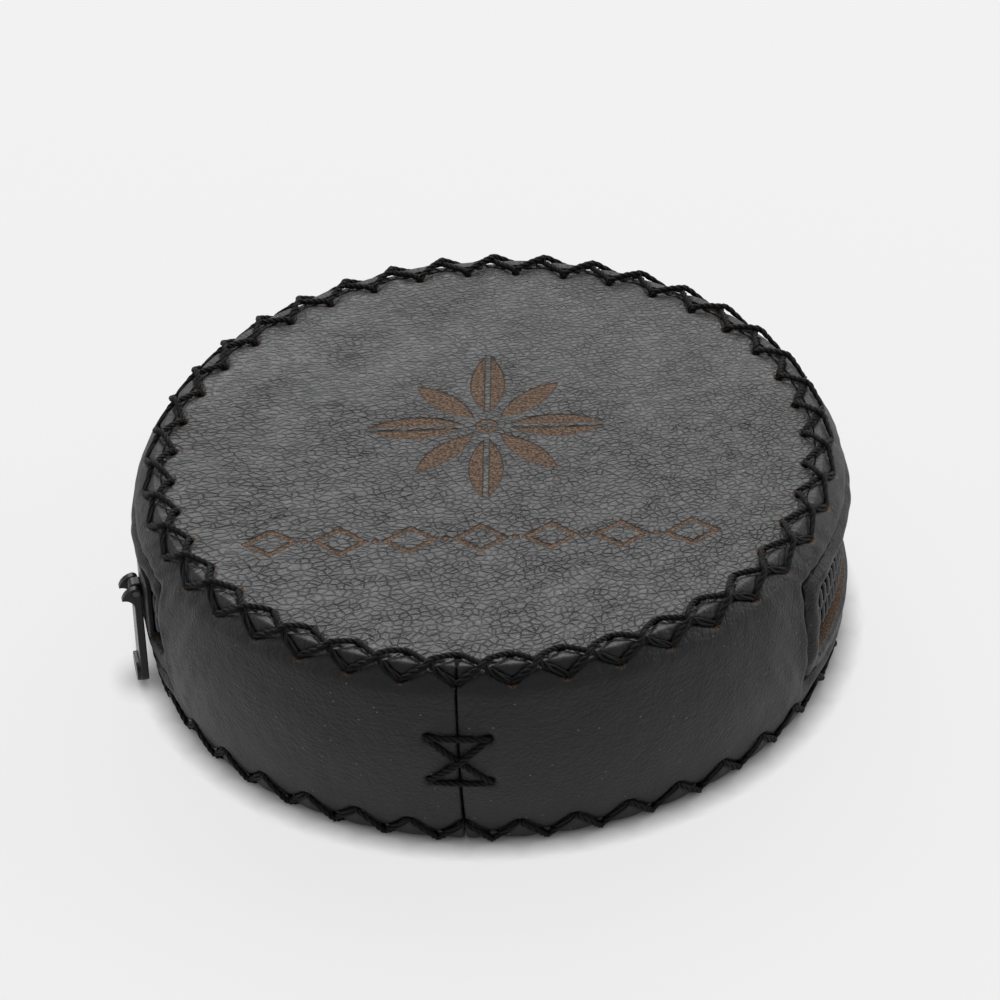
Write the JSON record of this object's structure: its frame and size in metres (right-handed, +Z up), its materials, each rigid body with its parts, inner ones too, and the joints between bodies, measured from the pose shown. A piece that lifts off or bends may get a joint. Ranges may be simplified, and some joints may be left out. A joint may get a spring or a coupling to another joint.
{
  "type": "coin purse",
  "caption": "Round leather coin purse with cross-stitched rims; a coil zip runs round the back wall, and the top folds open on a crease once it is unzipped.",
  "frame": {"origin": "centre of the flat underside", "axes": "+Z up; -Y is the middle of the front wall, between the ends of the zip; +X to the right seen from the front"},
  "size_m": [0.0938, 0.0944, 0.0292],
  "materials": {
    "leather": "semi-matt grained, dyed black",
    "thread": "waxed twisted thread",
    "tape": "woven tape",
    "coil": "satin nylon monofilament",
    "metal": "satin black enamel"
  },
  "bodies": {
    "base": {"side_band": "leather", "bottom_panel": "leather", "top_panel_front": "leather", "zipper_tape_lower": "tape", "zipper_tape_ends": "tape", "zipper_coil_lower": "coil", "zipper_sewing_lower": "thread", "top_rim_thread_front": "thread", "top_rim_thread_hinge": "thread", "bottom_rim_thread": "thread", "front_seam_thread": "thread"},
    "lid": {"top_panel": "leather", "side_band_upper": "leather", "zipper_tape_upper": "tape", "zipper_coil_upper": "coil", "zipper_sewing_upper": "thread", "top_rim_thread_rear": "thread"},
    "slider": {"slider_body": "metal", "slider_crown": "metal"},
    "pull": {"pull_tab": "metal", "pull_pin": "metal"}
  },
  "joints": [
    {"name": "zipper_slide", "type": "hinge", "parent": "base", "child": "slider", "pos_m": [0, 0, 0.0143], "axis": [0, 0, -1], "range_deg": [0, 207]},
    {"name": "lid_open", "type": "hinge", "parent": "base", "child": "lid", "pos_m": [0, -0.018, 0.0276], "axis": [1, 0, 0], "range_deg": [0, 40], "deforming": ["zipper_tape_upper", "zipper_coil_upper", "top_rim_thread_hinge"]},
    {"name": "pull_swing", "type": "hinge", "parent": "slider", "child": "pull", "pos_m": [-0.04556, -0.01094, 0.0153], "axis": [-0.2334, 0.9724, 0], "range_deg": [0, 100]}
  ],
  "couplings": [
    {"joint": "lid_open", "follows": "zipper_slide", "ratio": 0.193}
  ]
}
